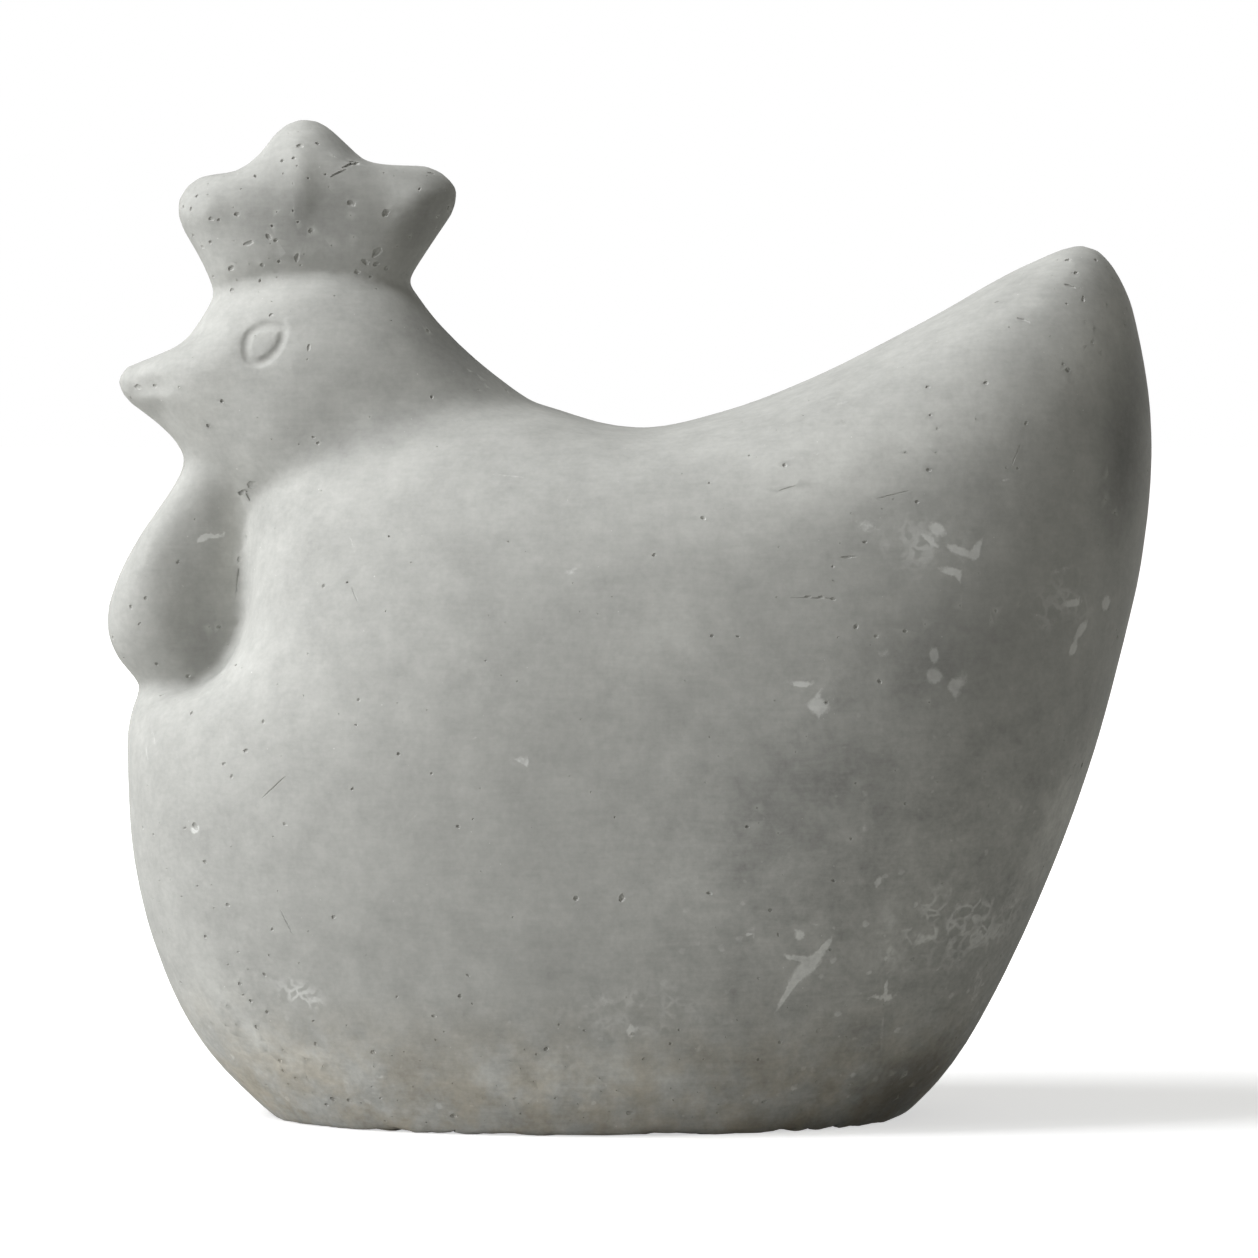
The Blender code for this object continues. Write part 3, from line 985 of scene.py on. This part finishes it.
def concrete(name, lift):
    """Cast grey concrete: clouded, sanded fine, limed and browned at the foot, with painted shade
    and painted light on the near flank and its pinholes painted dark as their shade.

    Lift is how much paler than the bare flank its patches are.
    """
    material = bpy.data.materials.new(name)
    material.use_nodes = True
    shader = material.node_tree.nodes["Principled BSDF"]
    shader.inputs["Specular IOR Level"].default_value = SHEEN
    g = Graph(material.node_tree)
    place = g.node("ShaderNodeTexCoord").output("Object")

    clouds = g.mottle(place, 30.0, detail=3.0, roughness=0.6, warp=0.5)
    patches = g.mottle(place, 13.0, detail=2.0, roughness=0.6, warp=0.4)
    blots = g.mottle(place, 5.0, detail=2.0, roughness=0.6)
    grit = g.mottle(place, 1.1, detail=2.0, roughness=0.7)
    trowelled = g.mottle(g.stretched(place, TROWEL_STRETCH), 0.9, detail=3.0, roughness=0.7)
    broken = PATCH_SHARE * patches + BLOT_SHARE * blots
    broken = broken + GRIT_SHARE * grit + TROWEL_SHARE * trowelled
    mottled = 1.0 + MOTTLED_MORE * g.painted("mottled")
    tone = 1.0 + CLOUD_SHARE * clouds + mottled * broken
    # Painted shade and painted light on the near flank, with a few real stains.
    tone = tone * (1.0 + g.painted("painted_light_and_stain"))

    colour = limed(g, place, PALE_GREY)
    height = g.node("ShaderNodeSeparateXYZ", {}, {"Vector": place}).output("Z")
    earthy = g.mottle(place, 8.0, detail=4.0, roughness=0.65).rising(-0.16, 0.16)
    browned = height.rising(BROWN_HEIGHT, 0.0) * earthy
    colour = g.mix(browned * BROWN_COVER, colour, FOOT_BROWN)
    # Pinholes too small to cut, painted dark grey as the shade inside them.
    pinholes = g.specks(place, 1.5, 0.14, 0.35)
    colour = g.mix(pinholes * PINHOLE_SHADE_COVER, colour, PINHOLE_SHADE_GREY)
    patchy = g.mottle(place, 0.8, detail=3.0, roughness=0.7, warp=0.4).rising(-0.16, 0.10)
    colour = g.times(colour, tone * (1.0 + (lift - 1.0) * patchy))
    g.feed(colour, shader, "Base Color")

    g.feed(0.80 + 0.3 * blots, shader, "Roughness")
    rough_skin = 0.9 * g.mottle(place, 1.6, detail=3.0, roughness=0.6)
    relief = rough_skin + 0.35 * grit + 0.25 * trowelled - 0.3 * pinholes
    bump = {"Strength": 0.4, "Distance": BUMP_HEIGHT, "Height": relief}
    g.feed(g.node("ShaderNodeBump", {}, bump), shader, "Normal")
    return material


def looked_at(g):
    """1 where the camera looks, straight or by a mirror or through glass, 0 for other light."""
    path = g.node("ShaderNodeLightPath")
    mirrored = g.maths("MAXIMUM", path.output("Is Glossy Ray"), path.output("Is Transmission Ray"))
    return g.maths("MAXIMUM", path.output("Is Camera Ray"), mirrored)


def floor_finish():
    """White, with the object's shadow kept; it throws less light back than it shows."""
    material = bpy.data.materials.new("floor")
    material.use_nodes = True
    tree = material.node_tree
    tree.nodes.clear()
    g = Graph(tree)
    place = g.node("ShaderNodeTexCoord").output("Object")
    away = g.node("ShaderNodeVectorMath", {"operation": "LENGTH"}, {0: place}).output("Value")
    near = away.rising(FLOOR_FAR, FLOOR_NEAR)
    glow = g.mix(near, BACKDROP_WHITE, FLOOR_GLOW)
    lit = g.node("ShaderNodeBsdfDiffuse", {}, {"Color": FLOOR_BOUNCE})
    white = g.node("ShaderNodeBsdfDiffuse", {}, {"Color": FLOOR_WHITE})
    glowing = g.node("ShaderNodeEmission", {}, {"Color": glow})
    shown = g.node("ShaderNodeAddShader", {}, {0: white, 1: glowing})
    floor = g.node("ShaderNodeMixShader", {}, {0: looked_at(g), 1: lit, 2: shown})
    g.node("ShaderNodeOutputMaterial", {}, {"Surface": floor})
    return material


def stage_floor():
    """A white floor that runs on to the horizon."""
    mesh = bmesh.new()
    bmesh.ops.create_grid(mesh, x_segments=1, y_segments=1, size=FLOOR_REACH)
    data = bpy.data.meshes.new("floor")
    mesh.to_mesh(data)
    mesh.free()
    data.materials.append(floor_finish())
    floor = linked("floor", data)


def world_light():
    """Soft light from all round, which shows as white behind the object."""
    world = bpy.data.worlds.new("studio")
    world.use_nodes = True
    bpy.context.scene.world = world
    world.node_tree.nodes.clear()
    g = Graph(world.node_tree)
    glow = g.times(AMBIENT_TINT, AMBIENT)
    tint = g.mix(looked_at(g), glow, BACKDROP_WHITE)
    sky = g.node("ShaderNodeBackground", {}, {"Color": tint})
    g.node("ShaderNodeOutputWorld", {}, {"Surface": sky})


def lamp(name, round_by, up_by, power):
    a, b = math.radians(round_by), math.radians(up_by)
    towards = Vector((-math.sin(a) * math.cos(b), -math.cos(a) * math.cos(b), math.sin(b)))
    light = bpy.data.lights.new(name, "AREA")
    light.size = LAMP_WIDTH
    light.energy = power
    light.color = LAMP_TINT
    item = bpy.data.objects.new(name, light)
    bpy.context.scene.collection.objects.link(item)
    item.location = FRAME_CENTRE + towards * LAMP_DISTANCE
    item.rotation_euler = (-towards).to_track_quat("-Z", "Y").to_euler()


def camera():
    place, _, _, back = camera_axes()
    lens = bpy.data.cameras.new("camera")
    lens.sensor_width = SENSOR
    lens.lens = SENSOR * CAMERA_DISTANCE / (FRAME_PIXELS * PIXEL)
    lens.clip_start = 0.05
    item = bpy.data.objects.new("camera", lens)
    bpy.context.scene.collection.objects.link(item)
    item.location = place
    item.rotation_euler = (-back).to_track_quat("-Z", "Y").to_euler()
    bpy.context.scene.camera = item


def cutting_tools(skin):
    """The shapes of the pores, pits and cracks, as they lie on the whole skin."""
    # The pits' faces are made a little paler: chalky broken concrete, and painted light on their
    # lit walls.
    finish = concrete("pit", PIT_CHALK_AND_PAINTED_LIGHT)
    pores = linked("pores", skin.data.copy())
    tools = [shaped_by(pores, pores_tree(), {**PORES, "Finish": finish})]
    marks = marks_tree()
    pits = [
        (x, y, across, along, deep * PIT_DEPTH_SHARE, tilt)
        for x, y, across, along, deep, tilt in PITS
    ]
    for places, raggedness in ((pits, PIT_RAGGEDNESS), (CRACKS, CRACK_RAGGEDNESS)):
        values = {"Fineness": TOOL_FINENESS, "Raggedness": raggedness}
        values.update({"Grain": TOOL_GRAIN, "Finish": finish})
        tools.append(shaped_by(marked_points(skin, places), marks, values))
    return tools


def dress_hen(solid):
    """The finished skin: worked, painted, and cut with its pores, pits and cracks."""
    skin = fine_skin(solid)
    work_skin(skin)
    skin.data.materials.append(concrete("concrete", 1.0))
    for name, value_at in (
        ("pored", pored_at),
        ("painted_light_and_stain", painted_light_and_stain_at),
        ("limed", limed_at),
        ("veined", veined_at),
        ("hidden", hidden_at),
        ("mottled", mottled_at),
    ):
        paint(skin, name, value_at)
    for tool in cutting_tools(skin):
        cut_with(skin, tool)
    skin.data.shade_smooth()
    skin.data.set_sharp_from_angle(angle=math.radians(SHARP_ANGLE))
    sharpen_rims(skin)
    return skin


hen = dress_hen(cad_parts["hen"])
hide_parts("hen")
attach(hen, "root")

stage_floor()
world_light()
for name, (round_by, up_by, power) in LAMPS.items():
    lamp(name, round_by, up_by, power)
camera()
bpy.context.scene.view_settings.view_transform = "Standard"
